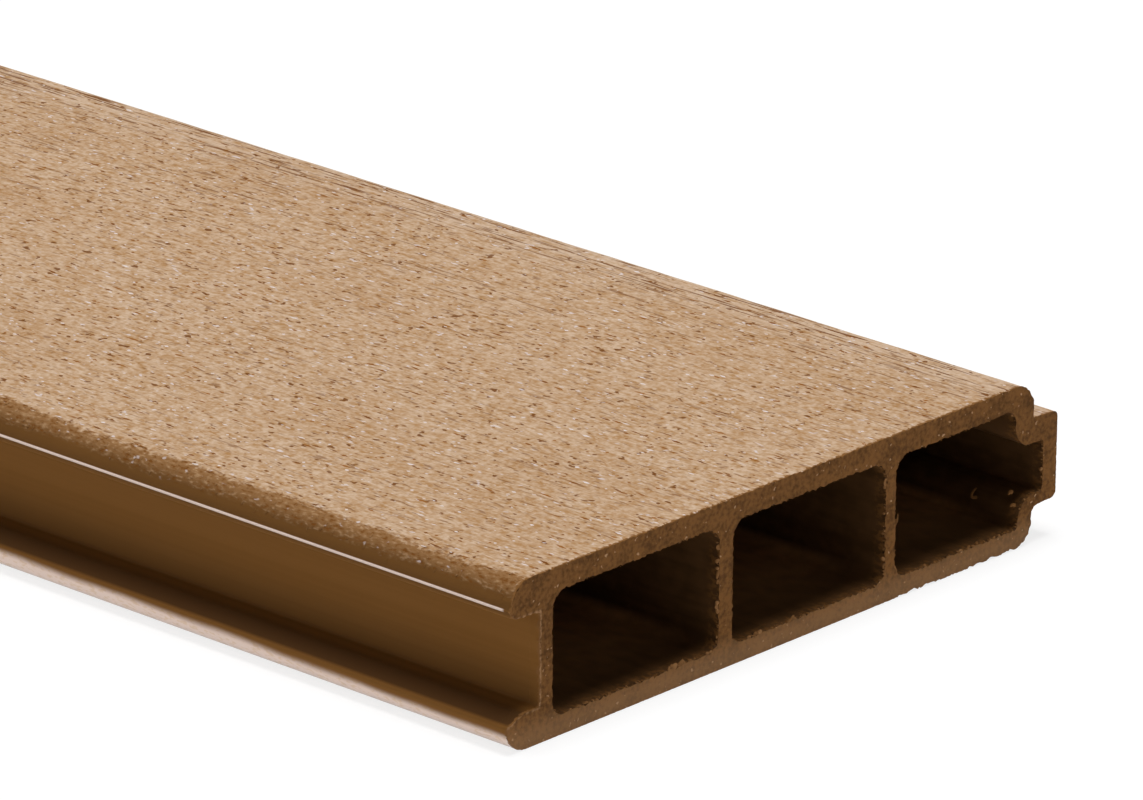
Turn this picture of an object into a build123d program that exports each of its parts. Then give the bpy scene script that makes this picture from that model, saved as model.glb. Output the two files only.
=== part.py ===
from build123d import *
import math
import os

# A hollow tongue and groove board, extruded in one piece, in millimetres.
# X runs along the board, Y across it towards the tongue, and Z up to the brushed face.
# The origin is at the middle of the underside of the board's outer box.

LENGTH = 1828.8
FACE_WIDTH = 139.7  # from the nose of the groove's upper lip to the tongue's shoulder
THICKNESS = 31.75
ARRIS_RADIUS = 4.8  # the four long outer edges

# The groove, open on the -Y side between two lips.
GROOVE_DEPTH = 7.25  # from the upper lip's nose to the groove's floor
UPPER_LIP = 6.95  # thickness at the nose
LOWER_LIP = 6.8
LOWER_LIP_REACH = 1.05  # how far the lower lip stands out past the upper one
LIP_TAPER = 0.25  # how much thicker the upper lip is at its root than at its nose
LIP_NOSE_RADIUS = 1.2  # the upper lip's lower edge
LEAD_IN_WIDTH = 4.3  # the slope on the lower lip that guides a tongue in
LEAD_IN_RISE = 1.6
LEAD_IN_NOSE_RADIUS = 0.35
LEAD_IN_TOP_RADIUS = 3.0
GROOVE_CORNER_RADIUS = 0.6

# The tongue, on the +Y side. It fits the groove of a board like this one.
TONGUE_LENGTH = 6.8
TONGUE_CLEARANCE = 0.3  # left above and below it in a groove
TONGUE_TAPER = 3.0  # degrees, on its upper and lower side
TONGUE_TIP_RADIUS = 1.2
LOWER_ROOT_RADIUS = 1.4  # where the tongue's lower side meets the shoulder

# Walls round the three cells, and the two webs between them.
TOP_WALL = 4.45
BOTTOM_WALL = 3.8
GROOVE_WALL = 3.2  # behind the groove's floor
WEB_1 = 3.55  # the web nearer the groove
WEB_2 = 2.75
CELL_1_EXTRA = 2.1  # how much wider the cell beside the groove is than the other two
UPPER_SHOULDER_WALL = 5.0
LOWER_SHOULDER_WALL = 3.95
TONGUE_TIP_WALL = 3.85
TONGUE_TOP_WALL = 4.9
TONGUE_BOTTOM_WALL = 2.5

# Rounded corners inside the cells.
CELL_TOP_RADIUS = 3.3
CELL_BOTTOM_RADIUS = 2.8
SHOULDER_TOP_RADIUS = 2.4  # under the arris beside the tongue
SHOULDER_BOTTOM_RADIUS = 0.8
UPPER_BEND_RADIUS = 4.2  # where the cell narrows into the tongue
LOWER_BEND_RADIUS = 4.6
TONGUE_POCKET_RADIUS = 0.8

SIDE_SHARE = 0.96  # the most of a side that the rounded corners at its two ends take up

# Places across the section. Y is counted from the groove's floor, and Z from the underside.
upper_nose_y = -GROOVE_DEPTH
lower_nose_y = -GROOVE_DEPTH - LOWER_LIP_REACH
shoulder_y = FACE_WIDTH - GROOVE_DEPTH
tip_y = shoulder_y + TONGUE_LENGTH
groove_top_z = THICKNESS - UPPER_LIP
tongue_top_z = groove_top_z - TONGUE_CLEARANCE
tongue_bottom_z = LOWER_LIP + TONGUE_CLEARANCE
taper_drop = TONGUE_LENGTH * math.tan(math.radians(TONGUE_TAPER))

# The cells share the room between the groove's wall and the tongue's tip wall.
pocket_y = tip_y - TONGUE_TIP_WALL
cell_width = (pocket_y - GROOVE_WALL - WEB_1 - WEB_2 - CELL_1_EXTRA) / 3
cell_1_end_y = GROOVE_WALL + cell_width + CELL_1_EXTRA
cell_2_y = cell_1_end_y + WEB_1
cell_2_end_y = cell_2_y + cell_width
cell_3_y = cell_2_end_y + WEB_2
floor_z = BOTTOM_WALL
ceiling_z = THICKNESS - TOP_WALL


def rounded(corners):
    """Draws a closed outline through the corners, each given as (y, z, radius).

    A radius shrinks where the sides beside its corner are too short for it.
    """
    count = len(corners)
    points = [Vector(y, z) for y, z, radius in corners]
    sides = [points[(i + 1) % count] - points[i] for i in range(count)]
    taken = []  # the length of side that each rounded corner takes up
    for i, (y, z, radius) in enumerate(corners):
        turn = sides[i - 1].get_angle(sides[i])
        taken.append(radius * math.tan(math.radians(turn / 2)))
    shares = []
    for i, side in enumerate(sides):
        wanted = taken[i] + taken[(i + 1) % count]
        shares.append(min(1, SIDE_SHARE * side.length / wanted) if wanted else 1)
    radii = [corners[i][2] * min(shares[i - 1], shares[i]) for i in range(count)]
    return FilletPolyline(*points, radius=radii, close=True)


def plain_cell(start_y, end_y):
    """Outlines a four-sided cell from one wall to the next."""
    return rounded(
        [
            (start_y, floor_z, CELL_BOTTOM_RADIUS),
            (end_y, floor_z, CELL_BOTTOM_RADIUS),
            (end_y, ceiling_z, CELL_TOP_RADIUS),
            (start_y, ceiling_z, CELL_TOP_RADIUS),
        ]
    )


def tongue_cell():
    """Outlines the cell beside the shoulders, which runs on into the tongue."""
    upper_y = shoulder_y - UPPER_SHOULDER_WALL
    lower_y = shoulder_y - LOWER_SHOULDER_WALL
    pocket_top_z = tongue_top_z - TONGUE_TOP_WALL
    pocket_bottom_z = tongue_bottom_z + TONGUE_BOTTOM_WALL
    return rounded(
        [
            (cell_3_y, floor_z, CELL_BOTTOM_RADIUS),
            (lower_y, floor_z, SHOULDER_BOTTOM_RADIUS),
            (lower_y, pocket_bottom_z, LOWER_BEND_RADIUS),
            (pocket_y, pocket_bottom_z, TONGUE_POCKET_RADIUS),
            (pocket_y, pocket_top_z, TONGUE_POCKET_RADIUS),
            (upper_y, pocket_top_z, UPPER_BEND_RADIUS),
            (upper_y, ceiling_z, SHOULDER_TOP_RADIUS),
            (cell_3_y, ceiling_z, CELL_TOP_RADIUS),
        ]
    )


def board_outline():
    """Outlines the board: lower lip, groove, upper lip, top face, tongue and underside."""
    return rounded(
        [
            (lower_nose_y, 0, ARRIS_RADIUS),
            (shoulder_y, 0, ARRIS_RADIUS),
            (shoulder_y, tongue_bottom_z, LOWER_ROOT_RADIUS),
            (tip_y, tongue_bottom_z + taper_drop, TONGUE_TIP_RADIUS),
            (tip_y, tongue_top_z - taper_drop, TONGUE_TIP_RADIUS),
            (shoulder_y, tongue_top_z, 0),
            (shoulder_y, THICKNESS, ARRIS_RADIUS),
            (upper_nose_y, THICKNESS, ARRIS_RADIUS),
            (upper_nose_y, groove_top_z, LIP_NOSE_RADIUS),
            (0, groove_top_z - LIP_TAPER, GROOVE_CORNER_RADIUS),
            (0, LOWER_LIP, GROOVE_CORNER_RADIUS),
            (lower_nose_y + LEAD_IN_WIDTH, LOWER_LIP, LEAD_IN_TOP_RADIUS),
            (lower_nose_y, LOWER_LIP - LEAD_IN_RISE, LEAD_IN_NOSE_RADIUS),
        ]
    )


section = make_face(board_outline())
section -= make_face(plain_cell(GROOVE_WALL, cell_1_end_y))
section -= make_face(plain_cell(cell_2_y, cell_2_end_y))
section -= make_face(tongue_cell())

# The section is drawn on the YZ plane, centred on the board's width, and extruded both ways from the middle.
middle_y = (lower_nose_y + tip_y) / 2
section = Plane.YZ * Pos(-middle_y, 0) * section
board = extrude(section, amount=LENGTH / 2, both=True)

os.makedirs("parts", exist_ok=True)
export_step(board, "parts/tongue_and_groove_board.step")
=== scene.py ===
# %% [markdown]
# # A tongue and groove board in cedar colour
#
# The board is one hollow extrusion of wood fibres in plastic. Its upper face is brushed, its other
# faces are as smooth as the die left them, and its ends are sawn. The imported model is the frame:
# every piece below is made in its coordinates, in metres, with X along the board, Y across it
# towards the tongue and Z up to the brushed face.

# %% Load the frame
import math

import bmesh
import bpy
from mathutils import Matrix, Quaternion, Vector


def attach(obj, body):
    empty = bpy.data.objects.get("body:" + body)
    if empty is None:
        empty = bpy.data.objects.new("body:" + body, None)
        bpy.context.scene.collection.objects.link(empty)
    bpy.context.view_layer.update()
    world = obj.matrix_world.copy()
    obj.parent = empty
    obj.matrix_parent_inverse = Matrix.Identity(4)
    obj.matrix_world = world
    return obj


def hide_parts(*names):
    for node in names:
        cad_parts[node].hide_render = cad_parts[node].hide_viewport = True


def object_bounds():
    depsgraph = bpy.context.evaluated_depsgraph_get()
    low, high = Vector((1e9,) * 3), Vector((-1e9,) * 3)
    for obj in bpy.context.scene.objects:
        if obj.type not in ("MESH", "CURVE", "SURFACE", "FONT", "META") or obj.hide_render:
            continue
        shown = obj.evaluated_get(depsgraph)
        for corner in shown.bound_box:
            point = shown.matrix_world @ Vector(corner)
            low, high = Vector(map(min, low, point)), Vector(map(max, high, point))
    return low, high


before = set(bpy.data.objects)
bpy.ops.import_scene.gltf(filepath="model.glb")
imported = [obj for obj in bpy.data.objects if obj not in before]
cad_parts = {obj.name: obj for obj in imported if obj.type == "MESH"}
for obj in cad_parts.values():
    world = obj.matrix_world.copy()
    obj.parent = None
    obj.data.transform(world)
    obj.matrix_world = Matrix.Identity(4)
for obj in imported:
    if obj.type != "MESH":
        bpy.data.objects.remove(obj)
cad_low, cad_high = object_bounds()
MM = 0.001
NODE = "tongue_and_groove_board"
print("board in mm:", [round(size / MM, 2) for size in cad_high - cad_low])

# %% [markdown]
# ## A wire for node maths
#
# Shaders and Geometry Nodes are both trees of nodes. Adding each Math node by hand hides the sum
# that it stands for, so a wire wraps one output socket and overloads Python's operators: an
# expression such as `1 - mask * 0.5` adds the nodes by itself. Every other node comes from `node`,
# which sets the node up first and then fills its sockets.


# %% The wire
class Wire:
    """One output socket of a node tree, or the bare tree before its first node."""

    def __init__(self, tree, socket=None):
        self.tree = tree
        self.socket = socket

    def node(self, kind, settings=None, inputs=None, out=0):
        """Adds a node, sets it up, gives its sockets values or links, and returns one output."""
        made = self.tree.nodes.new(kind)
        for name, value in (settings or {}).items():
            setattr(made, name, value)
        for key, value in (inputs or {}).items():
            socket = self.pick(made.inputs, key)
            if isinstance(value, Wire):
                self.tree.links.new(value.socket, socket)
            else:
                socket.default_value = value
        return Wire(self.tree, self.pick(made.outputs, out))

    @staticmethod
    def pick(sockets, key):
        """A socket by its number, or the one in use of those with its name."""
        if isinstance(key, int):
            return sockets[key]
        return next(socket for socket in sockets if socket.name == key and socket.enabled)

    def other(self, name):
        """Another output of the same node."""
        return Wire(self.tree, self.pick(self.socket.node.outputs, name))

    def math(self, operation, *values):
        """A Math node on any values or wires."""
        return self.node("ShaderNodeMath", {"operation": operation}, dict(enumerate(values)))

    def __add__(self, other):
        return self.math("ADD", self, other)

    def __radd__(self, other):
        return self.math("ADD", other, self)

    def __sub__(self, other):
        return self.math("SUBTRACT", self, other)

    def __rsub__(self, other):
        return self.math("SUBTRACT", other, self)

    def __mul__(self, other):
        return self.math("MULTIPLY", self, other)

    def __rmul__(self, other):
        return self.math("MULTIPLY", other, self)

    def __truediv__(self, other):
        return self.math("DIVIDE", self, other)

    def ramp(self, low, high):
        """0 below low, 1 above high and a smooth step between them; low may be the larger one."""
        return self.node(
            "ShaderNodeMapRange",
            {"interpolation_type": "SMOOTHSTEP"},
            {"Value": self, "From Min": low, "From Max": high},
        )

    def mix(self, share, low, high):
        """The colour low, with a share from 0 to 1 of the colour high."""
        return self.node(
            "ShaderNodeMix", {"data_type": "RGBA"}, {"Factor": share, "A": low, "B": high}, "Result"
        )

    def blend(self, low, high):
        """Takes this wire as a mask: the colour low where it is 0, and high where it is 1."""
        return self.mix(self, low, high)

    def split(self):
        """The X, Y and Z of a vector."""
        first = self.node("ShaderNodeSeparateXYZ", {}, {"Vector": self})
        return first, first.other("Y"), first.other("Z")

    def vector(self, x=0.0, y=0.0, z=0.0):
        """A vector from three values or wires."""
        return self.node("ShaderNodeCombineXYZ", {}, {"X": x, "Y": y, "Z": z})

    def grain(self, across, along, seed, detail=1.0):
        """Noise about 0.5 on a position, stretched along the board as brushing leaves it."""
        scale = (1 / along, 1 / across, 1 / across)
        stretched = self.node(
            "ShaderNodeVectorMath", {"operation": "MULTIPLY"}, {0: self, 1: scale}
        )
        return self.node(
            "ShaderNodeTexNoise",
            {"noise_dimensions": "4D"},
            {"Vector": stretched, "W": seed, "Scale": 1.0, "Detail": detail},
        )


# %% [markdown]
# ## The section
#
# The die's opening gives the board its section: two lips round the groove, a hollow tongue that
# fits such a groove, and three cells between the walls. It could be read back from the CAD mesh,
# but that mesh has coarse arcs. So the corners are written here from the same sizes, each with the
# radius that rounds it, and a node does the rounding.

# %% Sizes of the section
ARRIS_RADIUS = 4.8 * MM
GROOVE_DEPTH = 7.25 * MM
UPPER_LIP = 6.95 * MM
LOWER_LIP = 6.8 * MM
LOWER_LIP_REACH = 1.05 * MM
LIP_TAPER = 0.25 * MM
LEAD_IN_WIDTH = 4.3 * MM
LEAD_IN_RISE = 1.6 * MM
TONGUE_LENGTH = 6.8 * MM
TONGUE_CLEARANCE = 0.3 * MM
TONGUE_TAPER = math.radians(3)
TOP_WALL = 4.45 * MM
BOTTOM_WALL = 3.8 * MM
GROOVE_WALL = 3.2 * MM
WEBS = (3.55 * MM, 2.75 * MM)
CELL_1_EXTRA = 2.1 * MM
SHOULDER_WALLS = (3.95 * MM, 5.0 * MM)
TONGUE_WALLS = (2.5 * MM, 4.9 * MM)
TONGUE_TIP_WALL = 3.85 * MM
LIP_NOSE_RADIUS = 1.2 * MM
LEAD_IN_NOSE_RADIUS = 0.35 * MM
LEAD_IN_TOP_RADIUS = 3.0 * MM
GROOVE_CORNER_RADIUS = 0.6 * MM
TONGUE_TIP_RADIUS = 1.2 * MM
LOWER_ROOT_RADIUS = 1.4 * MM
CELL_TOP_RADIUS = 3.3 * MM
CELL_BOTTOM_RADIUS = 2.8 * MM
SHOULDER_TOP_RADIUS = 2.4 * MM
SHOULDER_BOTTOM_RADIUS = 0.8 * MM
UPPER_BEND_RADIUS = 4.2 * MM
LOWER_BEND_RADIUS = 4.6 * MM
POCKET_RADIUS = 0.8 * MM

half_length = cad_high.x
thickness = cad_high.z
lower_nose_y = cad_low.y
tip_y = cad_high.y
groove_y = lower_nose_y + LOWER_LIP_REACH + GROOVE_DEPTH
shoulder_y = tip_y - TONGUE_LENGTH
upper_nose_y = lower_nose_y + LOWER_LIP_REACH
groove_top_z = thickness - UPPER_LIP
tongue_z = (LOWER_LIP + TONGUE_CLEARANCE, groove_top_z - TONGUE_CLEARANCE)
taper_drop = TONGUE_LENGTH * math.tan(TONGUE_TAPER)
floor_z = BOTTOM_WALL
ceiling_z = thickness - TOP_WALL
cells_room = tip_y - TONGUE_TIP_WALL - groove_y - GROOVE_WALL - sum(WEBS) - CELL_1_EXTRA
cell_width = cells_room / 3
print("cell width in mm:", round(cell_width / MM, 2))

# %% Corners of the outline and the cells
FINE, PLAIN = 1.3 * MM, 14 * MM  # spacing of points along the brushed face and elsewhere
FACE_CORNER = (shoulder_y, thickness)  # the loop runs on from here along the brushed face
BEAD = 0.15 * MM  # the die's fine bead along the upper lip's nose
BEAD_Z = 26.35 * MM


def plain_cell(start, end):
    """Corners of a four-sided cell: y, z and radius."""
    return [
        (start, floor_z, CELL_BOTTOM_RADIUS),
        (start, ceiling_z, CELL_TOP_RADIUS),
        (end, ceiling_z, CELL_TOP_RADIUS),
        (end, floor_z, CELL_BOTTOM_RADIUS),
    ]


def tongue_cell(start):
    """Corners of the last cell, which runs on into the tongue."""
    lower_y, upper_y = (shoulder_y - wall for wall in SHOULDER_WALLS)
    pocket_y = tip_y - TONGUE_TIP_WALL
    pocket_low = tongue_z[0] + TONGUE_WALLS[0]
    pocket_high = tongue_z[1] - TONGUE_WALLS[1]
    return [
        (start, floor_z, CELL_BOTTOM_RADIUS),
        (start, ceiling_z, CELL_TOP_RADIUS),
        (upper_y, ceiling_z, SHOULDER_TOP_RADIUS),
        (upper_y, pocket_high, UPPER_BEND_RADIUS),
        (pocket_y, pocket_high, POCKET_RADIUS),
        (pocket_y, pocket_low, POCKET_RADIUS),
        (lower_y, pocket_low, LOWER_BEND_RADIUS),
        (lower_y, floor_z, SHOULDER_BOTTOM_RADIUS),
    ]


def board_outline():
    """Corners of the outline, from the lower lip round by the underside, the tongue and the top."""
    bead_y = upper_nose_y - BEAD
    return [
        (lower_nose_y, 0, ARRIS_RADIUS),
        (shoulder_y, 0, ARRIS_RADIUS),
        (shoulder_y, tongue_z[0], LOWER_ROOT_RADIUS),
        (tip_y, tongue_z[0] + taper_drop, TONGUE_TIP_RADIUS),
        (tip_y, tongue_z[1] - taper_drop, TONGUE_TIP_RADIUS),
        (shoulder_y, tongue_z[1], 0),
        (shoulder_y, thickness, ARRIS_RADIUS),
        (upper_nose_y, thickness, ARRIS_RADIUS),
        (upper_nose_y, BEAD_Z + 2 * BEAD, 0.1 * MM),
        (bead_y, BEAD_Z + BEAD, 0.2 * MM),
        (bead_y, BEAD_Z - BEAD, 0.2 * MM),
        (upper_nose_y, BEAD_Z - 2 * BEAD, 0.1 * MM),
        (upper_nose_y, groove_top_z, LIP_NOSE_RADIUS),
        (groove_y, groove_top_z - LIP_TAPER, GROOVE_CORNER_RADIUS),
        (groove_y, LOWER_LIP, GROOVE_CORNER_RADIUS),
        (lower_nose_y + LEAD_IN_WIDTH, LOWER_LIP, LEAD_IN_TOP_RADIUS),
        (lower_nose_y, LOWER_LIP - LEAD_IN_RISE, LEAD_IN_NOSE_RADIUS),
    ]


cell_1_y = groove_y + GROOVE_WALL
cell_2_y = cell_1_y + cell_width + CELL_1_EXTRA + WEBS[0]
cell_3_y = cell_2_y + cell_width + WEBS[1]
outline = board_outline()
cells = [
    plain_cell(cell_1_y, cell_2_y - WEBS[0]),
    plain_cell(cell_2_y, cell_3_y - WEBS[1]),
    tongue_cell(cell_3_y),
]
print("corners of the outline:", len(outline), "and of the cells:", [len(cell) for cell in cells])


# %% The corners as loops of edges
def new_object(name, data):
    """A new object of the scene for a mesh, a curve, a camera or a lamp."""
    made = bpy.data.objects.new(name, data)
    bpy.context.collection.objects.link(made)
    return made


def section_object(name, loops):
    """One mesh of closed edge loops, drawn flat, with what each corner says about itself."""
    mesh = bpy.data.meshes.new(name)
    points, edges = [], []
    values = {"corner_radius": [], "corner_spacing": [], "corner_points": [], "in_cell": []}
    for loop in loops:
        first = len(points)
        edges += [(first + i, first + (i + 1) % len(loop)) for i in range(len(loop))]
        for y, z, radius in loop:
            points.append((y, z, 0))
            values["corner_radius"].append(radius)
            values["corner_spacing"].append(FINE if (y, z) == FACE_CORNER else PLAIN)
            values["corner_points"].append(3 + round(radius / MM))
            values["in_cell"].append(float(loop is not outline))
    mesh.from_pydata(points, edges, [])
    for label, numbers in values.items():
        mesh.attributes.new(label, "FLOAT", "POINT").data.foreach_set("value", numbers)
    return new_object(name, mesh)


board = section_object("board", [outline, *cells])


# %% [markdown]
# ## The skin of the board
#
# The die leaves the composite smooth, brown and a little glossy. A wire brush then opens the upper
# face: it tears the plastic skin off, so the face is pale, matt and full of fine streaks along the
# board. On the arris above the groove the brush only dabs, and leaves a mottled, pebbled band.
# Image textures could carry all this, but they would stretch and repeat over almost two metres. So
# one material works it out from the place on the board, with noise stretched along X.


# %% Helpers for colours and materials
def tone(red, green, blue):
    """A colour as an image stores it, 0 to 255, as the linear colour that a shader takes."""
    parts = [part / 255 for part in (red, green, blue)]
    linear = [((part + 0.055) / 1.055) ** 2.4 if part > 0.04 else part / 12.92 for part in parts]
    return (*linear, 1.0)


def new_material(name):
    """A new material, a wire for its Object coordinates and its main shader node."""
    material = bpy.data.materials.new(name)
    material.use_nodes = True
    tree = material.node_tree
    place = Wire(tree).node("ShaderNodeTexCoord", {}, {}, "Object")
    shader = tree.nodes["Principled BSDF"]
    shader.inputs["Specular IOR Level"].default_value = 0.08  # a dull skin mirrors next to nothing
    return material, place, shader


def dress(place, shader, colour, roughness, height, depth):
    """Links the finished colour, roughness and bump; height is 0 to 1 and depth is in metres."""
    bump = place.node("ShaderNodeBump", {}, {"Height": height, "Distance": depth}, "Normal")
    for label, wire in (("Base Color", colour), ("Roughness", roughness), ("Normal", bump)):
        place.tree.links.new(wire.socket, shader.inputs[label])


# %% Colours of the skin
BRUSHED_TAN = tone(194, 160, 122)
STREAK_DARK = tone(157, 111, 58)
STREAK_PALE = tone(211, 187, 164)
# Painted light along the far arris.
PAINTED_LIGHT_PALE = tone(222, 200, 178)
FLECK_DARK = tone(108, 60, 6)
FLECK_WHITE = tone(220, 208, 206)
SMOOTH_BROWN = tone(126, 84, 36)
# Painted shade, low in the groove and beside the bead.
PAINTED_SHADE_BROWN = tone(76, 49, 22)
TORN_BROWN = tone(128, 88, 48)
DABBED_DARK = tone(104, 70, 36)
DABBED_PALE = tone(146, 107, 68)
# Painted highlight on the bead and painted reflection on the lower lip's rim.
PAINTED_SHINE_PALE = tone(240, 216, 202)
PAINTED_REFLECTION_TAN = tone(226, 194, 158)
FAR_SIDE_BRUSHED = 4 * MM  # how much nearer the far arris the brush reaches


# %% Finish: the brushed face
def by_far_edge(y):
    """The strip beside the far arris, where the brush tears the longest lines."""
    return y.ramp(shoulder_y - 18 * MM, shoulder_y - 8 * MM)


def torn_lines(place, y):
    """Dark lines and pits: short ones all over, long ones in patches and towards the tongue."""
    patches = place.grain(14 * MM, 40 * MM, 4.0, 1.0).ramp(0.4, 0.62)
    farther = y.ramp(-10 * MM, shoulder_y - 12 * MM)
    share = patches.math("MAXIMUM", patches * (0.4 + 0.4 * farther), farther * 0.7)
    long_lines = place.grain(0.7 * MM, 17 * MM, 5.0, 1.0).ramp(0.62, 0.7) * share
    edge_lines = place.grain(0.6 * MM, 14 * MM, 7.0, 1.0).ramp(0.56, 0.65) * by_far_edge(y)
    edge_lines = edge_lines * y.ramp(shoulder_y - 3.4 * MM, shoulder_y - 4.4 * MM)
    short_lines = place.grain(0.75 * MM, 3.6 * MM, 12.0, 1.0).ramp(0.61, 0.7) * 0.6
    pits = place.grain(1.3 * MM, 2.0 * MM, 6.0, 1.0).ramp(0.66, 0.72)
    dark = long_lines
    for more in (pits, edge_lines, short_lines):
        dark = dark.math("MAXIMUM", dark, more)
    return dark


def brushed_tan(place, y, streaks, fine, dark, white, far_arris_light):
    """The colour of the torn fibres, from broad clouds down to single white flecks."""
    cloudy = place.grain(22 * MM, 50 * MM, 3.0, 2.0)
    tan = place.mix(0.55, BRUSHED_TAN, streaks.ramp(0.34, 0.66).blend(STREAK_DARK, STREAK_PALE))
    tan = place.mix(0.4, tan, fine.ramp(0.3, 0.7).blend(STREAK_DARK, STREAK_PALE))
    tan = (cloudy.ramp(0.45, 0.68) * 0.14).blend(tan, STREAK_DARK)
    pale_lines = place.grain(0.8 * MM, 8 * MM, 13.0, 1.0).ramp(0.4, 0.6) * by_far_edge(y)
    tan = (pale_lines * 0.5).blend(tan, STREAK_PALE)
    # Painted shade: the torn lines and pits are sunk by the bump and also painted dark.
    tan = (dark * 0.9).blend(tan, FLECK_DARK)
    # Painted light along the far arris.
    tan = (far_arris_light * 0.5).blend(tan, PAINTED_LIGHT_PALE)
    return (white * 0.8).blend(tan, FLECK_WHITE)


# %% Finish: the smooth skin and the dabbed arris
def smooth_brown(y, z, die_lines, in_groove):
    """The skin as the die left it, with painted shade low in the groove and beside the bead."""
    brown = (die_lines.ramp(0.35, 0.65) * 0.12).blend(SMOOTH_BROWN, STREAK_DARK)
    low_in_wall = z.ramp(16 * MM, 8 * MM) * 0.35
    on_lip = z.ramp(7.4 * MM, 6.9 * MM) * y.ramp(lower_nose_y + 0.2 * MM, lower_nose_y + 1.2 * MM)
    outer_part = y.ramp(groove_y - 1.5 * MM, lower_nose_y + 3.0 * MM)
    on_lip = on_lip * (0.1 + 0.65 * outer_part)
    # Painted shade low in the groove's wall and on the lower lip's top.
    groove_shade = in_groove * (low_in_wall + on_lip) * z.ramp(4.4 * MM, 5.4 * MM)
    brown = groove_shade.blend(brown, PAINTED_SHADE_BROWN)
    # Painted shade beside the bead.
    beside_bead = z.ramp(24.6 * MM, 26.0 * MM) * z.ramp(30.2 * MM, 28.6 * MM)
    return (beside_bead * 0.5).blend(brown, PAINTED_SHADE_BROWN)


def dabbed_brown(under_face, lumps, white):
    """The mottled band between the brushed face and the smooth skin, darker further down."""
    dabbed = under_face.ramp(-0.2 * MM, 3.8 * MM).blend(DABBED_PALE, DABBED_DARK)
    dabbed = (lumps.ramp(0.5, 0.72) * 0.4).blend(dabbed, BRUSHED_TAN)
    dabbed = (lumps.ramp(0.48, 0.3) * 0.75).blend(dabbed, FLECK_DARK)
    return (white * 0.5).blend(dabbed, FLECK_WHITE)


# %% Wear on the two lips
def painted_bead_highlight(x, y, z):
    """The proud bead of the upper lip, glossy and with a painted highlight, except next to the saw
    cuts.
    """
    near_side = y.ramp(upper_nose_y + 1.0 * MM, upper_nose_y + 0.6 * MM)
    low_side = z.ramp(BEAD_Z - 2.2 * BEAD, BEAD_Z - 1.2 * BEAD)
    high_side = z.ramp(BEAD_Z + 2.2 * BEAD, BEAD_Z + 1.2 * BEAD)
    short_of_end = x.math("ABSOLUTE", x).ramp(half_length - 1.6 * MM, half_length - 2.4 * MM)
    return near_side * low_side * high_side * short_of_end


def painted_rim_reflection(x, y, z, uneven):
    """The lower lip's outer edge, with a painted reflection of the white floor, and less so towards
    the saw cuts.
    """
    less_near_cut = x.math("ABSOLUTE", x).ramp(half_length - 90 * MM, half_length - 10 * MM)
    rim_z = z + (uneven - 0.5) * (1.6 * MM) + less_near_cut * (0.8 * MM)
    outermost = y.ramp(lower_nose_y + 4.6 * MM, lower_nose_y + 3.0 * MM)
    return rim_z.ramp(5.1 * MM, 3.3 * MM) * outermost


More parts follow.
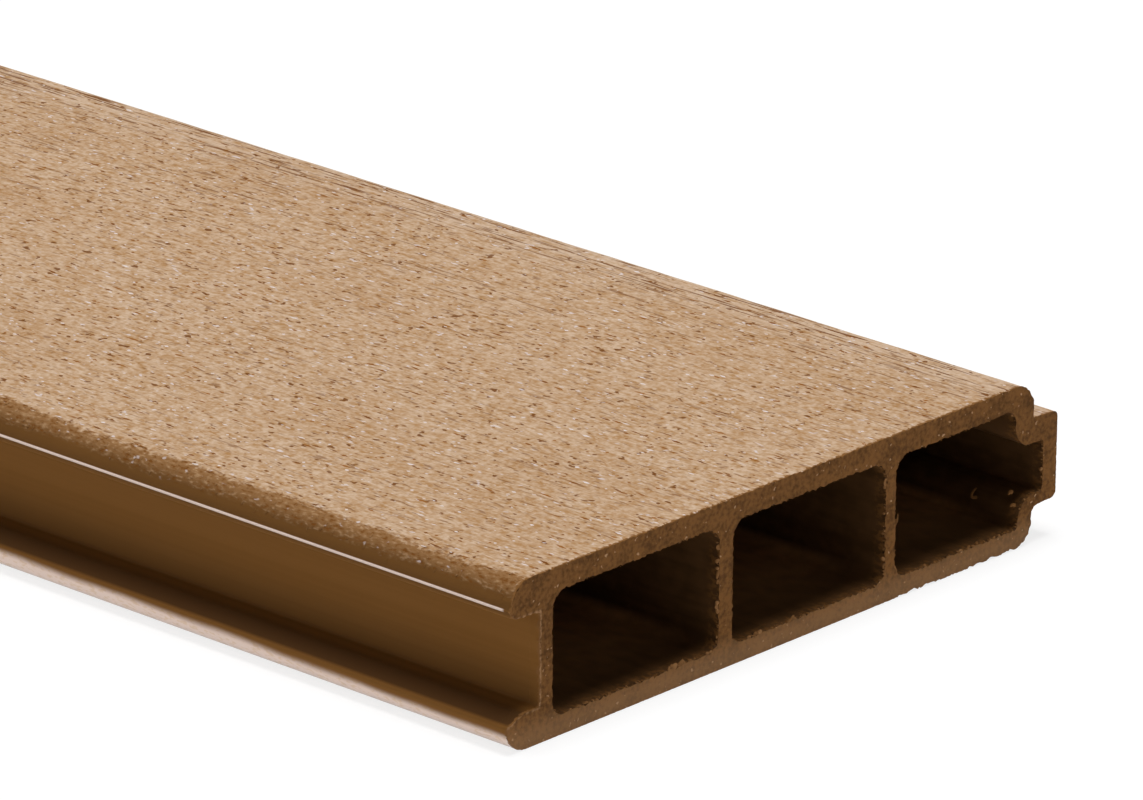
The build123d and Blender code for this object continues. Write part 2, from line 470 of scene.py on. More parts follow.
# %% Finish: the skin, brushed above and smooth elsewhere
def cedar_skin():
    """The whole skin: brushed face, dabbed arris, smooth sides, and wear on the lips."""
    material, place, shader = new_material("cedar_skin")
    x, y, z = place.split()
    under_face = thickness - z
    uneven = place.grain(9 * MM, 24 * MM, 11.0, 2.0)
    streaks = place.grain(0.8 * MM, 2.8 * MM, 1.0, 2.0)
    fine = place.grain(0.8 * MM, 0.9 * MM, 2.0, 1.0)
    lumps = place.grain(0.6 * MM, 1.4 * MM, 10.0, 2.0)
    white = place.grain(1.0 * MM, 1.9 * MM, 8.0, 1.0).ramp(0.67, 0.75)
    die_lines = place.grain(1.2 * MM, 300 * MM, 9.0, 2.0)
    dark = torn_lines(place, y)
    # Painted light: a pale strip along the far arris.
    far_arris_light = y.ramp(shoulder_y - 4.4 * MM, shoulder_y - 3.2 * MM)
    far_arris_light = far_arris_light * y.ramp(shoulder_y - 0.8 * MM, shoulder_y - 2.2 * MM)
    in_groove = y.ramp(groove_y + 1.0 * MM, groove_y - 0.2 * MM)

    # The brush reaches the face, and only dabs further down the arris.
    is_dabbed = (under_face + (uneven - 0.5) * (2.5 * MM)).ramp(3.4 * MM, 2.2 * MM)
    inset = y.math("MINIMUM", y - upper_nose_y, shoulder_y + FAR_SIDE_BRUSHED - y)
    brush_edge = inset + (uneven - 0.5) * (5 * MM) + (lumps - 0.5) * (4 * MM)
    is_brushed = brush_edge.ramp(2.7 * MM, 4.1 * MM) * under_face.ramp(2.6 * MM, 1.4 * MM)
    tan = brushed_tan(place, y, streaks, fine, dark, white, far_arris_light)
    brown = smooth_brown(y, z, die_lines, in_groove)
    colour = is_dabbed.blend(brown, dabbed_brown(under_face, lumps, white))
    colour = is_brushed.blend(colour, tan)

    # Painted highlight on the bead, painted reflection on the lower lip's rim, and the tongue's
    # top, which is as pale as the face.
    bead = painted_bead_highlight(x, y, z)
    rim = painted_rim_reflection(x, y, z, uneven)
    colour = (bead * 0.85).blend(colour, PAINTED_SHINE_PALE)
    colour = rim.blend(colour, (lumps.ramp(0.5, 0.62) * 0.6).blend(PAINTED_SHINE_PALE, PAINTED_REFLECTION_TAN))
    on_tongue = y.ramp(shoulder_y + 0.1 * MM, shoulder_y + 0.4 * MM)
    tongue_top = on_tongue * z.ramp(tongue_z[1] - 0.8 * MM, tongue_z[1] - 0.5 * MM)
    colour = (tongue_top * 0.85).blend(colour, tan)

    # The saw tears the skin off along the cut.
    from_cut = half_length - x.math("ABSOLUTE", x)
    torn_edge = (from_cut + (fine - 0.5) * (1.6 * MM)).ramp(0.6 * MM, 0.3 * MM)
    colour = torn_edge.blend(colour, TORN_BROWN)

    roughness = 0.36 + is_dabbed * 0.3 + is_brushed * 0.2 - bead * 0.18 + (uneven - 0.5) * 0.1
    roughness = roughness + in_groove * 0.35 + tongue_top * 0.3 + far_arris_light * 0.2
    torn = streaks * 0.4 + fine * 0.2 - dark * 0.25 + white * 0.15
    height = torn * is_brushed + lumps * 0.5 * is_dabbed * (1 - is_brushed) + die_lines * 0.02
    dress(place, shader, colour, roughness, height, 0.35 * MM)
    place.tree.links.new((bead + rim * 0.5).socket, shader.inputs["Coat Weight"])
    shader.inputs["Coat Roughness"].default_value = 0.16
    return material


skin = cedar_skin()
print("skin nodes:", len(skin.node_tree.nodes))

# %% [markdown]
# ## The sawn ends and the inside of the cells
#
# A saw leaves the cut matt, with pale bits of wood fibre in the brown plastic and a few faint lines
# of the blade. The cells' walls are the same composite, untouched since the die, but painted darker
# than the skin as shade, and next to no light reaches them. Both could be part of the skin's
# material, but three small materials are easier to follow, and each face needs just one of them.


# %% Finish: sawn ends
SAWN_BROWN = tone(132, 89, 46)
SAWN_DARK = tone(90, 58, 26)
# Pale fibres, and painted light towards the foot of the cut.
SAWN_FIBRE_AND_LIGHT = tone(196, 154, 112)


def pale_cut_edge(y, z):
    """The cut's edge along the groove's floor and the lower lip, painted paler."""
    beside_floor = y.ramp(groove_y + 0.6 * MM, groove_y + 0.1 * MM)
    beside_floor = beside_floor * z.ramp(LOWER_LIP, LOWER_LIP + 1.0 * MM)
    beside_floor = beside_floor * z.ramp(groove_top_z + 0.5 * MM, groove_top_z)
    slope = (y - lower_nose_y).ramp(0.0, LEAD_IN_WIDTH) * LEAD_IN_RISE
    under_lip = LOWER_LIP - LEAD_IN_RISE + slope - z
    beside_lip = under_lip.ramp(0.6 * MM, 0.1 * MM) * y.ramp(groove_y + 0.4 * MM, groove_y)
    beside_lip = beside_lip * z.ramp(LOWER_LIP + 1.0 * MM, LOWER_LIP + 0.5 * MM)
    return beside_floor + beside_lip


def sawn_cedar():
    """The rough, matt cut, with faint slanting marks of the blade, pale fibres and painted light
    below.
    """
    material, place, shader = new_material("sawn_cedar")
    x, y, z = place.split()
    blade = place.vector(x, y, z + y * 0.35).grain(0.5 * MM, 900 * MM, 21.0, 1.0)
    grains = place.grain(0.9 * MM, 0.9 * MM, 22.0, 2.0)
    clouds = place.grain(5 * MM, 5 * MM, 24.0, 2.0)
    flecks = place.grain(1.1 * MM, 1.1 * MM, 23.0, 1.0).ramp(0.68, 0.74)
    colour = (grains * 0.6 + clouds * 0.4).ramp(0.36, 0.6).blend(SAWN_DARK, SAWN_BROWN)
    colour = place.mix(0.95, SAWN_BROWN, colour)
    # Painted light: the cut is painted paler towards its foot, where the floor lights it.
    colour = (z.ramp(7 * MM, 0.5 * MM) * 0.35).blend(colour, SAWN_FIBRE_AND_LIGHT)
    colour = (flecks * 0.85).blend(colour, SAWN_FIBRE_AND_LIGHT)
    pale_cut = pale_cut_edge(y, z) * grains.ramp(0.3, 0.7)
    colour = (pale_cut * 0.65).blend(colour, SAWN_FIBRE_AND_LIGHT)
    height = grains * 0.6 + blade * 0.3 + flecks * 0.4
    roughness = 0.72 + (grains - 0.5) * 0.2
    dress(place, shader, colour, roughness, height, 0.25 * MM)
    return material


# %% Finish: walls of the cells
# Painted shade: the cells' walls are coloured darker than the skin.
CELL_BROWN = tone(70, 47, 25)
CELL_PALE = tone(89, 61, 35)
CELL_FLOOR_LIGHT = tone(176, 128, 80)


def cell_wall():
    """The inside, painted dark as shade, painted lighter on its floor farther in, smeared at the
    cut's edge.
    """
    material, place, shader = new_material("cell_wall")
    lines = place.grain(2.2 * MM, 200 * MM, 31.0, 2.0)
    dapple = place.grain(3 * MM, 4 * MM, 32.0, 2.0)
    colour = (lines * 0.5 + dapple * 0.5).ramp(0.35, 0.65).blend(CELL_BROWN, CELL_PALE)
    x, y, z = place.split()
    from_cut = half_length - x.math("ABSOLUTE", x)
    # Painted light on the cells' floors, farther in from the cut.
    floor_light = z.ramp(floor_z + 2.4 * MM, floor_z + 0.4 * MM) * (0.4 + dapple)
    floor_light = floor_light * from_cut.ramp(2 * MM, 26 * MM)
    colour = floor_light.blend(colour, CELL_FLOOR_LIGHT)
    smudges = place.grain(0.8 * MM, 1.2 * MM, 33.0, 2.0).ramp(0.44, 0.6)
    smear = from_cut.ramp(3.5 * MM, 0.5 * MM) * smudges
    colour = (smear * 0.6).blend(colour, SAWN_BROWN)
    roughness = 0.5 + (dapple - 0.5) * 0.2
    dress(place, shader, colour, roughness, lines * 0.5 + dapple * 0.5, 0.15 * MM)
    return material


sawn = sawn_cedar()
cell = cell_wall()
print("sawn and cell nodes:", len(sawn.node_tree.nodes), len(cell.node_tree.nodes))

# %% [markdown]
# ## Sweeping the section into a board
#
# A long extrusion follows one rule: the same section at every place along X. In Geometry Nodes that
# is a curve swept along a line. The stations on the line crowd towards the two sawn ends, where the
# board is looked at closely, and spread out in the middle. The last 2.4 mm at each end are swept
# from a much finer copy of the section, because a saw leaves an edge with small chips in it.


# %% A helper for modifiers with named inputs
def grow(piece, name, sizes, build):
    """Runs a Geometry Nodes tree on a piece and keeps the result as its plain mesh.

    sizes holds the tree's named inputs. build gets a wire for the geometry and one for each size.
    """
    tree = bpy.data.node_groups.new(name, "GeometryNodeTree")
    tree.interface.new_socket("Geometry", in_out="INPUT", socket_type="NodeSocketGeometry")
    tree.interface.new_socket("Geometry", in_out="OUTPUT", socket_type="NodeSocketGeometry")
    kinds = {int: "NodeSocketInt", float: "NodeSocketFloat"}
    kinds[bpy.types.Material] = "NodeSocketMaterial"
    identifiers = {}
    for label, value in sizes.items():
        socket = tree.interface.new_socket(label, in_out="INPUT", socket_type=kinds[type(value)])
        identifiers[label] = socket.identifier
    start = tree.nodes.new("NodeGroupInput")
    wires = {label: Wire(tree, start.outputs[label]) for label in ["Geometry", *sizes]}
    last = tree.nodes.new("NodeGroupOutput")
    tree.links.new(build(wires).socket, last.inputs["Geometry"])
    modifier = piece.modifiers.new(name, "NODES")
    modifier.node_group = tree
    for label, value in sizes.items():
        modifier[identifiers[label]] = value
    graph = bpy.context.evaluated_depsgraph_get()
    grown = bpy.data.meshes.new_from_object(piece.evaluated_get(graph))
    piece.modifiers.remove(modifier)
    piece.data = grown
    grown.name = piece.name
    triangles = sum(len(polygon.vertices) - 2 for polygon in grown.polygons)
    print(piece.name, "has", triangles, "triangles")
    return piece


# %% Steps that several trees share
def attribute(start, name):
    """A number that was stored under this name."""
    return start.node("GeometryNodeInputNamedAttribute", {"data_type": "FLOAT"}, {"Name": name})


def rounded_loops(start):
    """The corner loops as curves, each corner rounded with its own radius and points."""
    corners = start.node("GeometryNodeMeshToCurve", {}, {"Mesh": start})
    radius = attribute(start, "corner_radius")
    count = attribute(start, "corner_points")
    rounding = {"Curve": corners, "Radius": radius, "Count": count}
    return start.node("GeometryNodeFilletCurve", {"mode": "POLY"}, rounding)


def stand_up(flat, x):
    """Turns what was drawn flat so that it faces along the board, at the place x."""
    turn = (math.pi / 2, 0, math.pi / 2)
    placing = {"Geometry": flat, "Translation": flat.vector(x), "Rotation": turn}
    return flat.node("GeometryNodeTransform", {}, placing)


def moved(geometry, how, where):
    """Moves each point to a Position, or by an Offset."""
    return geometry.node("GeometryNodeSetPosition", {}, {"Geometry": geometry, how: where})


def join(*parts):
    """Several geometries as one."""
    joined = parts[0].node("GeometryNodeJoinGeometry")
    for part in parts:
        part.tree.links.new(part.socket, joined.socket.node.inputs[0])
    return joined


def finish_with(geometry, *materials):
    """Realizes the instances and sets each material, given with its selection or None for all."""
    done = geometry.node("GeometryNodeRealizeInstances", {}, {"Geometry": geometry})
    for material, selection in materials:
        where = {} if selection is None else {"Selection": selection}
        where.update({"Geometry": done, "Material": material})
        done = done.node("GeometryNodeSetMaterial", {}, where)
    return done


# %% Closed lengths of board
SEAM = 0.01 * MM  # a gap too thin to see keeps the three lengths closed shells of their own
WELD = 0.002 * MM  # points this close to each other become one
END_STATIONS = 6  # sections along each of the two short ends


def closed_length(section, path, ends):
    """The section swept along a path, with a flat cap at each of its two ends."""
    half_turn = {"Geometry": section, "Rotation": (0, 0, math.pi)}
    turned = section.node("GeometryNodeTransform", {}, half_turn)
    walls = section.node("GeometryNodeCurveToMesh", {}, {"Curve": path, "Profile Curve": turned})
    flat = section.node("GeometryNodeFillCurve", {"mode": "TRIANGLES"}, {"Curve": section})
    joined = join(walls, *[stand_up(flat, x) for x in ends])
    return section.node("GeometryNodeMergeByDistance", {}, {"Geometry": joined, "Distance": WELD})


def straight_path(start, x_from, x_to, stations):
    """A line along X with this many evenly spaced stations."""
    ends = {"Start": start.vector(x_from), "End": start.vector(x_to)}
    line = start.node("GeometryNodeCurvePrimitiveLine", {}, ends)
    return start.node("GeometryNodeResampleCurve", {}, {"Curve": line, "Count": stations})


def spaced(loops, spacing):
    """The loops with points at about this spacing along their straight sides."""
    here = loops.node("GeometryNodeInputPosition")
    following = loops.node("GeometryNodeOffsetPointInCurve", {}, {"Offset": 1}, "Point Index")
    next_point = {"Index": following, "Value": here}
    there = loops.node("GeometryNodeFieldAtIndex", {"data_type": "FLOAT_VECTOR"}, next_point)
    between = {0: here, 1: there}
    side = loops.node("ShaderNodeVectorMath", {"operation": "DISTANCE"}, between, "Value")
    cuts = loops.math("FLOOR", side / spacing)
    return loops.node("GeometryNodeSubdivideCurve", {}, {"Curve": loops, "Cuts": cuts})


def three_lengths(wires, x):
    """The middle, swept coarsely, and the two ends, swept from a fine section."""
    start = wires["Geometry"]
    loops = rounded_loops(start)
    section = spaced(loops, attribute(start, "corner_spacing"))
    fine_section = spaced(loops, wires["Edge spacing"])
    body_half = wires["Half length"] - wires["Chipped length"]
    unit_path = straight_path(start, -1.0, 1.0, wires["Stations"])
    crowded = start.math("SINE", x * (math.pi / 2))
    share = wires["Crowding"]
    along = start.vector((crowded * share + x * (1 - share)) * body_half)
    path = moved(unit_path, "Position", along)
    lengths = [closed_length(section, path, (body_half, -1 * body_half))]
    for sign in (1, -1):
        cut_at, seam_at = wires["Half length"] * sign, (body_half + SEAM) * sign
        first, last = (seam_at, cut_at) if sign == 1 else (cut_at, seam_at)
        short_path = straight_path(start, first, last, END_STATIONS)
        lengths.append(closed_length(fine_section, short_path, (cut_at, seam_at)))
    return join(*lengths)


# %% Relief and chips
def kept_inside(geometry, x, y, z):
    """Presses whatever would stand out back to the sawn ends, the faces and the edges."""
    room = ((x, -half_length, half_length), (y, lower_nose_y, tip_y), (z, 0.0, thickness))
    cut = [at.math("MAXIMUM", at.math("MINIMUM", at, most), least) for at, least, most in room]
    return moved(geometry, "Position", geometry.vector(*cut))


def with_relief(shell, wires, here):
    """Sinks ridges into the brushed face and dents into its arrises, always inwards."""
    x, y, z = here.split()
    outside = 1 - attribute(shell, "in_cell")
    upper = z.ramp(thickness - 3.6 * MM, thickness - 3.0 * MM) * outside
    flat_top = z.ramp(thickness - 0.5 * MM, thickness - 0.1 * MM)
    ridges = here.grain(4.5 * MM, 45 * MM, 3.0) * wires["Ridge depth"]
    dents = here.grain(3.5 * MM, 6 * MM, 5.0) * wires["Pebble depth"]
    depth = (ridges * flat_top + dents * (1 - flat_top)) * upper
    # One line between the centres of the two arrises is the same distance from all of this skin.
    core_z = thickness - ARRIS_RADIUS
    core_y = y.math("MAXIMUM", y, upper_nose_y + ARRIS_RADIUS)
    core_y = y.math("MINIMUM", core_y, shoulder_y - ARRIS_RADIUS)
    inwards = shell.vector(0.0, core_y - y, core_z - z)
    inwards = shell.node("ShaderNodeVectorMath", {"operation": "NORMALIZE"}, {0: inwards})
    sinking = {"Vector": inwards, "Scale": depth}
    offset = shell.node("ShaderNodeVectorMath", {"operation": "SCALE"}, sinking, "Vector")
    return moved(shell, "Offset", offset)


def with_chips(shell, wires, here):
    """Lets the edge of the cut wander, most of all low by the tongue, where the blade leaves."""
    x, y, z = here.split()
    outside = 1 - attribute(shell, "in_cell")
    near_cut = x.math("ABSOLUTE", x).ramp(half_length - 1.0 * MM, half_length - 0.2 * MM)
    clean_side = y.ramp(shoulder_y - 8 * MM, shoulder_y - 5 * MM) * z.ramp(3 * MM, 6 * MM)
    clean_underside = outside * z.ramp(3 * MM, 1 * MM) * y.ramp(34 * MM, 20 * MM)
    chip = near_cut * wires["Chip"] * (1 - clean_side * 0.6) * (1 - clean_underside * 0.8)
    chip_y, chip_z = ((here.grain(0.9 * MM, 0.9 * MM, seed) - 0.5) * chip for seed in (71.0, 72.0))
    bites = here.grain(2.6 * MM, 2.6 * MM, 73.0, 2.0).ramp(0.45, 0.75) * z.ramp(3 * MM, 0.5 * MM)
    chip_z = chip_z + bites * near_cut * (1 - clean_underside) * wires["Bite"]
    return kept_inside(shell, x, y + chip_y, z + chip_z)


# %% The sweep
def sweep(wires):
    """Sweeps the three lengths, sinks the relief, chips the cut and gives each part its finish."""
    start = wires["Geometry"]
    here = start.node("GeometryNodeInputPosition")
    shell = three_lengths(wires, here.split()[0])
    shell = with_chips(with_relief(shell, wires, here), wires, here)
    normal_x = start.node("GeometryNodeInputNormal").split()[0]
    is_end = start.math("GREATER_THAN", start.math("ABSOLUTE", normal_x), 0.9)
    is_cell = start.math("GREATER_THAN", attribute(start, "in_cell"), 0.5)
    return finish_with(
        shell, (wires["Skin"], None), (wires["Cell"], is_cell), (wires["Sawn"], is_end)
    )


board = grow(
    board,
    "sweep_section",
    {
        "Stations": 220,
        "Crowding": 0.8,
        "Half length": half_length,
        "Chipped length": 2.4 * MM,
        "Edge spacing": 0.5 * MM,
        "Chip": 1.5 * MM,
        "Bite": 0.7 * MM,
        "Ridge depth": 0.12 * MM,
        "Pebble depth": 0.35 * MM,
        "Skin": skin,
        "Cell": cell,
        "Sawn": sawn,
    },
    sweep,
)


def close_and_face_outwards(piece, sharp_angle):
    """Points every face outwards, smooths the round stretches and keeps the sharp edges sharp."""
    shell = bmesh.new()
    shell.from_mesh(piece.data)
    bmesh.ops.recalc_face_normals(shell, faces=shell.faces)
    open_edges = sum(not edge.is_manifold for edge in shell.edges)
    litres = shell.calc_volume(signed=True) * 1000
    shell.to_mesh(piece.data)
    shell.free()
    piece.data.shade_smooth()
    piece.data.set_sharp_from_angle(angle=math.radians(sharp_angle))
    print(piece.name, "has", open_edges, "open edges and holds", round(litres * 1000, 2), "cm3")


def hand_over(piece):
    """Gives a finished piece to the frame."""
    close_and_face_outwards(piece, sharp_angle=40)
    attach(piece, "root")
    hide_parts(NODE)


hand_over(board)

# %% [markdown]
# ## Fibres on the brushed face
#
# The wire brush lifts wood fibres along the board, some as pale as straw, and opens slots beside
# them, whose shade is painted as darker flecks lying flat. Each is a splinter about 2 mm long.
# Painting them would lose them at any distance where the picture of the surface is coarse, and
# modelling them one by one is hopeless. So points are dealt out over the face and every point gets
# a splinter of eight triangles.


# %% Dealing points over a copy of the board
def copy_of_board(name):
    """The board again, for a tree that deals something out over it."""
    return new_object(name, board.data.copy())


def random_value(start, low, high, seed):
    """Another random number at every point."""
    settings, bounds = {"data_type": "FLOAT"}, {"Min": low, "Max": high, "Seed": seed}
    return start.node("FunctionNodeRandomValue", settings, bounds, "Value")


def deal(start, density, seed):
    """Points at random places on the faces, so many to the square metre."""
    dealing = {"Mesh": start, "Density": density, "Seed": seed}
    return start.node("GeometryNodeDistributePointsOnFaces", {}, dealing)


def lay(points, shape, turn, size):
    """One instance of a shape at every point."""
    laying = {"Points": points, "Instance": shape, "Rotation": turn, "Scale": size}
    return points.node("GeometryNodeInstanceOnPoints", {}, laying)


def store(geometry, name, value, domain="INSTANCE"):
    """Keeps a number under a name, on each instance or on each point."""
    settings = {"data_type": "FLOAT", "domain": domain}
    storing = {"Geometry": geometry, "Name": name, "Value": value}
    return geometry.node("GeometryNodeStoreNamedAttribute", settings, storing)


def made_real(instances):
    """Turns the instances into faces, so that each of their points can be moved."""
    return instances.node("GeometryNodeRealizeInstances", {}, {"Geometry": instances})


# %% Splinters
def splinters(wires):
    """Lays pointed splinters along X on the brushed face, more of them near the sawn ends."""
    start = wires["Geometry"]
    seed = wires["Seed"]
    x, y, z = start.node("GeometryNodeInputPosition").split()
    normal_z = start.node("GeometryNodeInputNormal").split()[2]
    on_face = normal_z.ramp(0.90, 0.97) * z.ramp(thickness - 1.0 * MM, thickness - 0.5 * MM)
    far_edge = shoulder_y - ARRIS_RADIUS
    on_face = on_face * y.ramp(far_edge + 0.5 * MM, far_edge - 0.5 * MM)
    from_end = half_length - x.math("ABSOLUTE", x)
    crowding = 1 + wires["Extra near ends"] * from_end.ramp(0.5, 0.2)
    points = deal(start, on_face * crowding * wires["Per square metre"], seed)
    long = random_value(start, 0.0, 1.0, seed + 1)
    length = wires["Shortest"] + long * long * long * (wires["Longest"] - wires["Shortest"])
    width = wires["Width"] * random_value(start, 0.6, 1.3, seed + 2)
    height = wires["Height"] * random_value(start, 0.6, 1.3, seed + 3)
    eight_faces = {"Segments": 4, "Rings": 2, "Radius": 0.5}
    splinter = start.node("GeometryNodeMeshUVSphere", {}, eight_faces)
    yaw = random_value(start, -0.12, 0.12, seed + 4)
    tilt = random_value(start, -0.02, 0.02, seed + 5)
    turn = start.node("FunctionNodeEulerToRotation", {}, {"Euler": start.vector(0.0, tilt, yaw)})
    laid = lay(points, splinter, turn, start.vector(length, width, height))
    marked = store(laid, "shade", random_value(start, 0.0, 1.0, seed + 6))
    return finish_with(kept_inside(made_real(marked), x, y, z), (wires["Finish"], None))


# %% Finishes: one colour for each splinter
def shaded_finish(name, low, high, roughness):
    """A matt finish whose colour runs from low to high with the splinter's own shade."""
    material, place, shader = new_material(name)
    shade = place.node("ShaderNodeAttribute", {"attribute_name": "shade"}, {}, "Fac")
    speckle = place.grain(0.5 * MM, 1.5 * MM, 41.0, 1.0)
    colour = (shade * 0.8 + speckle * 0.4 - 0.1).blend(low, high)
    rough = roughness + (speckle - 0.5) * 0.2
    dress(place, shader, colour, rough, speckle, 0.05 * MM)
    return material


straw = shaded_finish("straw_fibre", tone(180, 140, 98), tone(208, 183, 158), 0.7)
whitened = shaded_finish("whitened_fibre", tone(204, 180, 160), tone(226, 216, 214), 0.65)
# Painted shade: dark flecks that stand for the slots the brush opens.
slot_shade = shaded_finish("slot_shade_fleck", tone(104, 56, 4), tone(150, 94, 30), 0.7)

# %% Straw and whitened splinters, and dark splinters of painted shade
# Name, finish, number per square metre, extra near the ends, seed, and the sizes in mm.
FIBRE_SIZES = ("Shortest", "Longest", "Width", "Height")
fibre_kinds = [
    ("straw_fibres", straw, 45000.0, 2.5, 100, (1.0, 6.0, 0.4, 0.14)),
    ("whitened_fibres", whitened, 34000.0, 0.0, 200, (0.7, 2.8, 0.55, 0.1)),
    ("slot_shade_flecks", slot_shade, 42000.0, 0.0, 300, (0.7, 4.5, 0.55, 0.08)),
]
for name, finish, number, extra, seed, sizes in fibre_kinds:
    inputs = {label: size * MM for label, size in zip(FIBRE_SIZES, sizes)}
    inputs.update({"Per square metre": number, "Extra near ends": extra})
    inputs.update({"Seed": seed, "Finish": finish})
    hand_over(grow(copy_of_board(name), "lay_" + name, inputs, splinters))

# %% [markdown]
# ## Pebbles on the dabbed arris
#
# On the arris above the groove the brush tears small lumps instead of lines. They are dealt out
# over it in the same way, but as low round pebbles that lie in its slope, so their rotation comes
# from the surface. The brush sweeps the far arris clean, so that one needs none. The pebbles take
# the skin's own material, which colours them as the place they sit on.


# %% Pebbles
def pebbles_on_arris(wires):
    """Lays low pebbles in the slope of the arris, in patches."""
    start = wires["Geometry"]
    seed = wires["Seed"]
    here = start.node("GeometryNodeInputPosition")
    x, y, z = here.split()
    normal_z = start.node("GeometryNodeInputNormal").split()[2]
    sloping = normal_z.ramp(0.2, 0.35) * normal_z.ramp(0.995, 0.97)
    on_near_side = y.ramp(1 * MM, 0.0)
    band = z.ramp(thickness - 3.2 * MM, thickness - 2.4 * MM) * sloping * on_near_side
    patchy = here.grain(4 * MM, 14 * MM, 51.0).ramp(0.3, 0.6)
    points = deal(start, band * patchy * wires["Per square metre"], seed)
    pebble = start.node("GeometryNodeMeshIcoSphere", {}, {"Radius": 0.5, "Subdivisions": 1})
    share = random_value(start, 0.5, 1.4, seed + 1)
    width = wires["Width"] * share
    length = width * random_value(start, 1.0, 2.2, seed + 2)
    size = start.vector(width, length, wires["Height"] * share)
    laid = lay(points, pebble, points.other("Rotation"), size)
    return finish_with(kept_inside(made_real(laid), x, y, z), (wires["Finish"], None))


pebbles = grow(
    copy_of_board("arris_pebbles"),
    "deal_pebbles",
    {
        "Per square metre": 600000.0,
        "Width": 0.5 * MM,
        "Height": 0.2 * MM,
        "Seed": 400,
        "Finish": skin,
    },
    pebbles_on_arris,
)
hand_over(pebbles)

# %% [markdown]
# ## Burrs left by the saw
#
# The blade came in from the upper left, so it dragged crumbs of composite over the lower and the
# right-hand edges of the cells, which look ragged against the dark inside. The crumbs follow the
# edges of the cells, which is a job for a curve: the same rounded loops as the section's, points at
# even steps along them, and a crumb at each. The curve's own direction tells the edges that the
# blade left from those that it entered. All crumbs stay behind the plane of the cut.


# %% Burrs
def crumbs_along_edges(wires):
    """Sets crumbs along the mouths of the cells, larger where the blade left them."""
    start = wires["Geometry"]
    seed = wires["Seed"]
    x, y, z = start.node("GeometryNodeInputPosition").split()
    stepping = {"Curve": rounded_loops(start), "Length": wires["Step"]}
    steps = start.node("GeometryNodeResampleCurve", {"mode": "LENGTH"}, stepping)
    across, upwards = start.node("GeometryNodeInputTangent").split()[:2]
    left_by_blade = start.math("MAXIMUM", -1 * across, -1 * upwards)
    steps = store(steps, "drag", left_by_blade.ramp(-0.1, 0.6), "POINT")
    back = half_length - wires["Behind the cut"]
    mouths = join(*[stand_up(steps, back * sign) for sign in (1, -1)])
    spread = Vector((0.1, 0.25, 0.25)) * MM
    bounds = {"Min": tuple(-spread), "Max": tuple(spread), "Seed": seed + 2}
    settings = {"data_type": "FLOAT_VECTOR"}
    jitter = start.node("FunctionNodeRandomValue", settings, bounds, "Value")
    mouths = moved(mouths, "Offset", jitter)
    place = start.vector(x, y, z)
    clusters = place.grain(4.0 * MM, 4.0 * MM, 61.0, 2.0).ramp(0.45, 0.72)
    chance = start.math("MAXIMUM", 0.0, random_value(start, -0.6, 1.7, seed + 1))
    share = wires["Least"] + attribute(start, "drag") * (0.15 + clusters * 1.6) * chance
    size = wires["Crumb"] * share
    narrow = size * random_value(start, 0.4, 1.0, seed + 4)
    roll = start.vector(random_value(start, 0.0, math.pi, seed + 5))
    turn = start.node("FunctionNodeEulerToRotation", {}, {"Euler": roll})
    crumb = start.node("GeometryNodeMeshIcoSphere", {}, {"Radius": 0.5, "Subdivisions": 2})
    laid = lay(mouths, crumb, turn, start.vector(wires["Crumb"] * 0.6, size, narrow))
    real = made_real(store(laid, "shade", random_value(start, 0.0, 1.0, seed + 3)))
    lumpy = (place.grain(0.9 * MM, 0.9 * MM, 62.0, 1.0) - 0.5) * wires["Lumpiness"]
    along_normal = {"Vector": start.node("GeometryNodeInputNormal"), "Scale": lumpy}
    out = start.node("ShaderNodeVectorMath", {"operation": "SCALE"}, along_normal, "Vector")
    return finish_with(kept_inside(moved(real, "Offset", out), x, y, z), (wires["Finish"], None))


torn = shaded_finish("torn_composite", tone(112, 75, 38), tone(160, 116, 74), 0.75)
burrs = grow(
    section_object("saw_burrs", cells),
    "drag_burrs",
    {
        "Step": 0.6 * MM,
        "Crumb": 0.8 * MM,
        "Least": 0.12,
        "Behind the cut": 0.25 * MM,
        "Lumpiness": 0.8 * MM,
        "Seed": 500,
        "Finish": torn,
    },
    crumbs_along_edges,
)
hand_over(burrs)

# %% [markdown]
# ## Swarf left in the last cell
#
# A thin curl still hangs on the web's edge, and a few crumbs with a torn thread cling to the wall
# by the tongue. Each is one short curve with a round bevel that thins towards its tip, which bends
# more naturally than a modelled tube. The curves are turned into one closed mesh.


# %% Swarf
THINNING = 0.6  # how much of its thickness a thread loses from its root to its tip


def swarf_curve(threads):
    """Threads as (list of points in mm from the sawn end's frame, thickness in mm)."""
    curve = bpy.data.curves.new("swarf", "CURVE")
    curve.dimensions = "3D"
    curve.bevel_depth = MM
    curve.bevel_resolution = 2
    curve.use_fill_caps = True
    for points, thick in threads:
        line = curve.splines.new("NURBS")
        line.points.add(len(points) - 1)
        for i, (x, y, z) in enumerate(points):
            line.points[i].co = (half_length + x * MM, y * MM, z * MM, 1)
            line.points[i].radius = 0.5 * thick * (1 - THINNING * i / (len(points) - 1))
        line.order_u = 3
        line.use_endpoint_u = True
        line.resolution_u = 6
    return curve


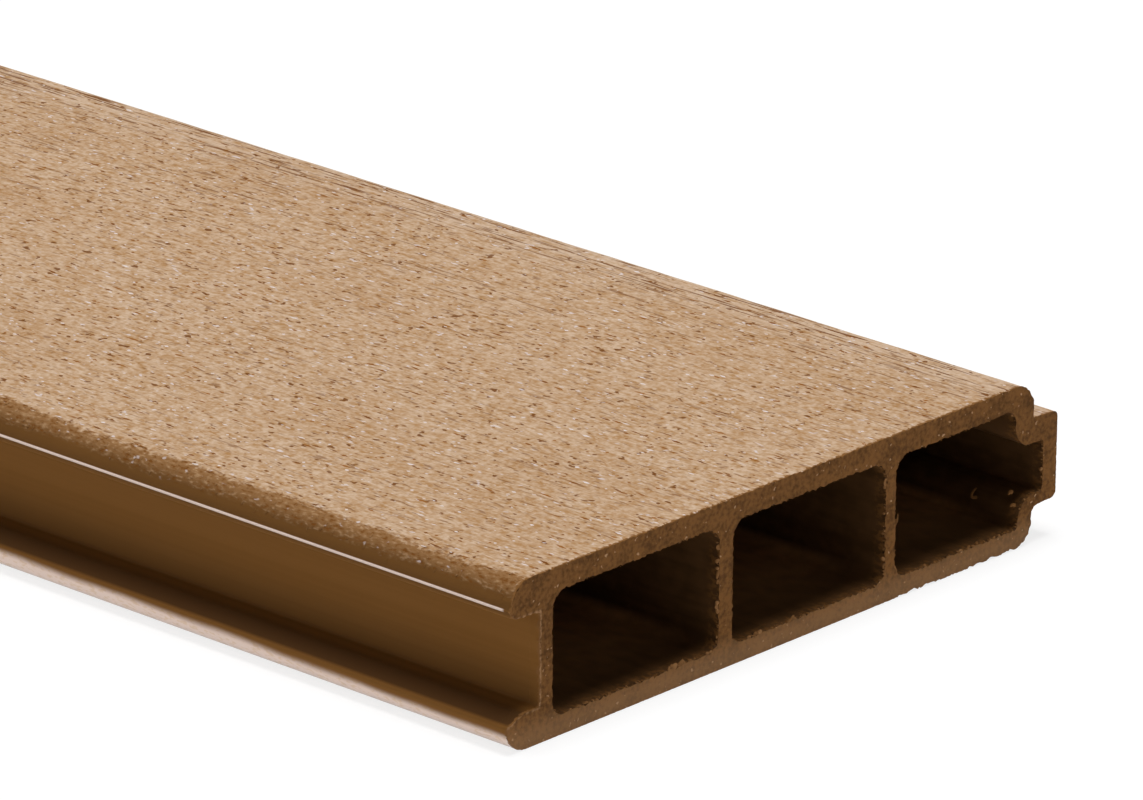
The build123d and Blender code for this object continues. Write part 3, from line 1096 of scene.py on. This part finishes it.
web_edge = cell_3_y / MM
lower_wall = (shoulder_y - SHOULDER_WALLS[0]) / MM
curl = [
    (-0.5, web_edge - 0.3, 13.7),
    (-0.3, web_edge + 0.4, 14.2),
    (-0.3, web_edge + 1.0, 15.2),
    (-0.6, web_edge + 1.3, 15.9),
]
thread = [
    (-10.0, lower_wall + 0.1, 7.4),
    (-10.0, lower_wall - 1.2, 7.6),
    (-9.6, lower_wall - 1.7, 8.6),
    (-9.4, lower_wall - 1.0, 9.5),
    (-9.8, lower_wall - 0.2, 9.3),
]
crumb_high = [
    (-1.8, lower_wall + 0.2, 10.6),
    (-1.6, lower_wall - 0.5, 10.9),
    (-1.4, lower_wall - 1.0, 10.5),
]
crumb_low = [
    (-1.0, lower_wall + 0.2, 8.2),
    (-0.9, lower_wall - 0.6, 8.7),
    (-0.8, lower_wall - 1.1, 8.3),
]
threads = [(curl, 0.6), (thread, 0.7), (crumb_high, 0.9), (crumb_low, 0.8)]
swarf_object = new_object("swarf_curve", swarf_curve(threads))
graph = bpy.context.evaluated_depsgraph_get()
swarf_mesh = bpy.data.meshes.new_from_object(swarf_object.evaluated_get(graph))
bpy.data.objects.remove(swarf_object)
swarf = new_object("swarf", swarf_mesh)
swarf_mesh.materials.clear()
swarf_mesh.materials.append(torn)
hand_over(swarf)

# %% [markdown]
# ## Camera
#
# The photograph was taken from about 1.7 m away through a long lens, so the board's far edges
# hardly converge. The camera's place was fitted to the sawn end's corners and the two long edges.

# %% Camera
CAMERA_PAST_END = 1.0541  # from the sawn end, along X
CAMERA_Y, CAMERA_Z = -1.2156, 0.6449
AIM_BEFORE_END, AIM_Y = 0.0538, 0.0011  # where the view's centre meets the brushed face
ROLL = math.radians(0.52)
LENS, SENSOR = 306.5, 36.0
camera_data = bpy.data.cameras.new("camera")
camera_data.lens, camera_data.sensor_width = LENS, SENSOR
camera_data.clip_start, camera_data.clip_end = 0.05, 60
camera = new_object("camera", camera_data)
camera.location = (half_length + CAMERA_PAST_END, CAMERA_Y, CAMERA_Z)
aim = Vector((half_length - AIM_BEFORE_END, AIM_Y, thickness))
looking = (aim - camera.location).to_track_quat("-Z", "Y") @ Quaternion((0, 0, 1), ROLL)
camera.rotation_mode = "QUATERNION"
camera.rotation_quaternion = looking
bpy.context.scene.camera = camera
print("camera to sawn end in m:", round((aim - camera.location).length, 3))

# %% [markdown]
# ## Light and floor
#
# In the photograph the brushed face is fully lit from above, while the sawn end and the groove get
# about half as much. A wide sun lamp overhead lights the whole length evenly, which a lamp close by
# can't do over almost two metres. A weak round lamp on the groove's side lifts that side a little.
# The white floor and the sky light the rest.


# %% Lamps
SUN_STRENGTH = 2.7
SUN_WIDTH = math.radians(25)  # a wide lamp gives soft shadows
STRIP_WATTS = 8
STRIP_DIAMETER = 0.9
STRIP_FROM_END = Vector((-1.9, -1.9, 1.1))


def point_lamp(name, kind, direction, strength):
    """A lamp that shines along a direction, with the settings of its kind left to the caller."""
    data = bpy.data.lights.new(name, kind)
    data.energy = strength
    lamp = new_object(name, data)
    lamp.rotation_mode = "QUATERNION"
    lamp.rotation_quaternion = Vector(direction).to_track_quat("-Z", "Y")
    return lamp


overhead = point_lamp("overhead", "SUN", (0, 0, -1), SUN_STRENGTH)
overhead.data.angle = SUN_WIDTH
end = Vector((half_length, 0, 0))
strip_place = end + STRIP_FROM_END
strip = point_lamp("strip", "AREA", end - strip_place, STRIP_WATTS)
strip.data.shape = "DISK"
strip.data.size = STRIP_DIAMETER
strip.location = strip_place

# %% White surroundings
SKY = 0.15  # how much of the sky's white lights the object
FLOOR_GAP = 0.1 * MM  # just clear of the underside, so that the two faces don't coincide
PAPER_GREY = 0.9
PAPER_GLOW = 0.75  # the share of the floor that is plain white to the camera
GLOW_STRENGTH = 1.06


def white_for_camera(tree, dim):
    """1 where the camera or a mirror image looks, and dim for the light on the object."""
    start = Wire(tree)
    looks = start.node("ShaderNodeLightPath", {}, {}, "Is Camera Ray")
    seen = looks.math("MAXIMUM", looks, looks.other("Is Transmission Ray"))
    return seen.math("MAXIMUM", seen, looks.other("Is Glossy Ray")) * (1 - dim) + dim


world = bpy.data.worlds.new("studio")
bpy.context.scene.world = world
world.use_nodes = True
background = world.node_tree.nodes["Background"]
background.inputs["Color"].default_value = (1, 1, 1, 1)
sky = white_for_camera(world.node_tree, SKY)
world.node_tree.links.new(sky.socket, background.inputs["Strength"])

bpy.ops.mesh.primitive_plane_add(size=30)
floor = bpy.context.object
floor.name = "floor"
floor.location.z = -FLOOR_GAP
paper = bpy.data.materials.new("floor_paper")
paper.use_nodes = True
paper_shader = paper.node_tree.nodes["Principled BSDF"]
paper_shader.inputs["Base Color"].default_value = (PAPER_GREY, PAPER_GREY, PAPER_GREY, 1)
paper_shader.inputs["Roughness"].default_value = 0.9
glow = white_for_camera(paper.node_tree, 0.0) * PAPER_GLOW
shine = glow.node("ShaderNodeEmission", {}, {"Strength": GLOW_STRENGTH}, "Emission")
mixed = glow.node("ShaderNodeMixShader", {}, {0: glow, 2: shine}, "Shader")
paper.node_tree.links.new(paper_shader.outputs["BSDF"], mixed.socket.node.inputs[1])
surface = paper.node_tree.nodes["Material Output"].inputs["Surface"]
paper.node_tree.links.new(mixed.socket, surface)
floor.data.materials.append(paper)

bpy.context.scene.view_settings.view_transform = "Standard"
